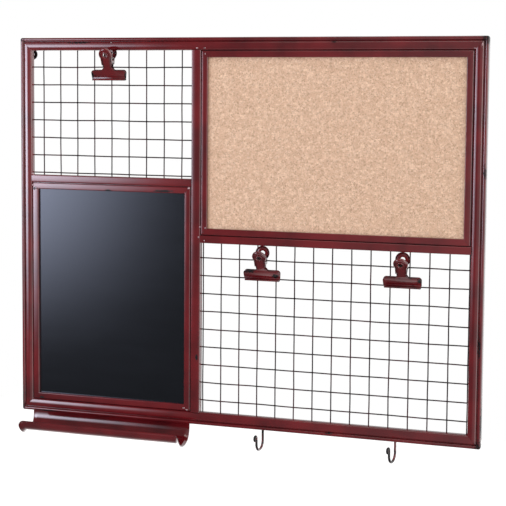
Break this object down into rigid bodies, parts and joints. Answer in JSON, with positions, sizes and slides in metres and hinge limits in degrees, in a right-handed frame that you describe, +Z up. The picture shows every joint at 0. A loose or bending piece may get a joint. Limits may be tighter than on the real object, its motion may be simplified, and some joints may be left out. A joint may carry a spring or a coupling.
{
  "type": "memo board",
  "caption": "Wall memo board: moulded sheet-metal frame round a chalkboard, a cork board and wire meshes, with a half-round chalk tray, coat hooks and sprung clips that open.",
  "frame": {"origin": "on the back of the top rail, in the middle of its back flange, half way along the board", "axes": "+X along the board's width to the viewer's right, +Y into the wall, +Z up"},
  "size_m": [0.686, 0.055, 0.5885],
  "materials": {
    "red_paint": "semi-gloss dark red paint, worn through to black at edges and corners",
    "dark_wire": "dark satin",
    "chalkboard": "smooth matte black writing surface on hardboard",
    "cork": "fine-grained cork",
    "hardboard": "bare brown hardboard",
    "dark_steel": "blackened steel"
  },
  "bodies": {
    "board": {"frame_top_rail": "red_paint", "frame_bottom_rail": "red_paint", "frame_left_rail": "red_paint", "frame_right_rail": "red_paint", "centre_post": "red_paint", "left_cross_rail": "red_paint", "right_cross_rail": "red_paint", "chalk_top_rail": "red_paint", "chalk_bottom_rail": "red_paint", "chalk_left_rail": "red_paint", "chalk_right_rail": "red_paint", "chalkboard_panel": "chalkboard", "chalk_tab_1": "dark_steel", "chalk_tab_2": "dark_steel", "chalk_tab_3": "dark_steel", "chalk_tab_4": "dark_steel", "cork_top_rail": "red_paint", "cork_bottom_rail": "red_paint", "cork_left_rail": "red_paint", "cork_right_rail": "red_paint", "cork_sheet": "cork", "cork_backing_board": "hardboard", "cork_tab_1": "dark_steel", "cork_tab_2": "dark_steel", "cork_tab_3": "dark_steel", "cork_tab_4": "dark_steel", "cork_tab_5": "dark_steel", "cork_tab_6": "dark_steel", "left_wire_mesh": "dark_wire", "right_wire_mesh": "dark_wire", "chalk_tray": "red_paint", "hook_1": "red_paint", "hook_2": "red_paint", "hanger_eye_left": "dark_steel", "hanger_eye_right": "dark_steel", "clip_1_back_jaw": "red_paint", "clip_1_pivot_pin": "dark_steel", "clip_1_torsion_spring": "dark_steel", "clip_2_back_jaw": "red_paint", "clip_2_pivot_pin": "dark_steel", "clip_2_torsion_spring": "dark_steel", "clip_3_back_jaw": "red_paint", "clip_3_pivot_pin": "dark_steel", "clip_3_torsion_spring": "dark_steel"},
    "clip_1_front": {"clip_1_front_jaw": "red_paint"},
    "clip_2_front": {"clip_2_front_jaw": "red_paint"},
    "clip_3_front": {"clip_3_front_jaw": "red_paint"}
  },
  "joints": [
    {"name": "clip_1_open", "type": "hinge", "parent": "board", "child": "clip_1_front", "pos_m": [-0.20035, -0.0185, -0.0289], "axis": [-1, 0, 0], "range_deg": [0, 25], "stiffness_Nm_per_rad": 0.3, "springref_deg": -34.38},
    {"name": "clip_2_open", "type": "hinge", "parent": "board", "child": "clip_2_front", "pos_m": [0.03251, -0.0185, -0.31064], "axis": [-1, 0, 0], "range_deg": [0, 25], "stiffness_Nm_per_rad": 0.3, "springref_deg": -34.38},
    {"name": "clip_3_open", "type": "hinge", "parent": "board", "child": "clip_3_front", "pos_m": [0.23229, -0.0185, -0.31086], "axis": [-1, 0, 0], "range_deg": [0, 25], "stiffness_Nm_per_rad": 0.3, "springref_deg": -34.38}
  ]
}
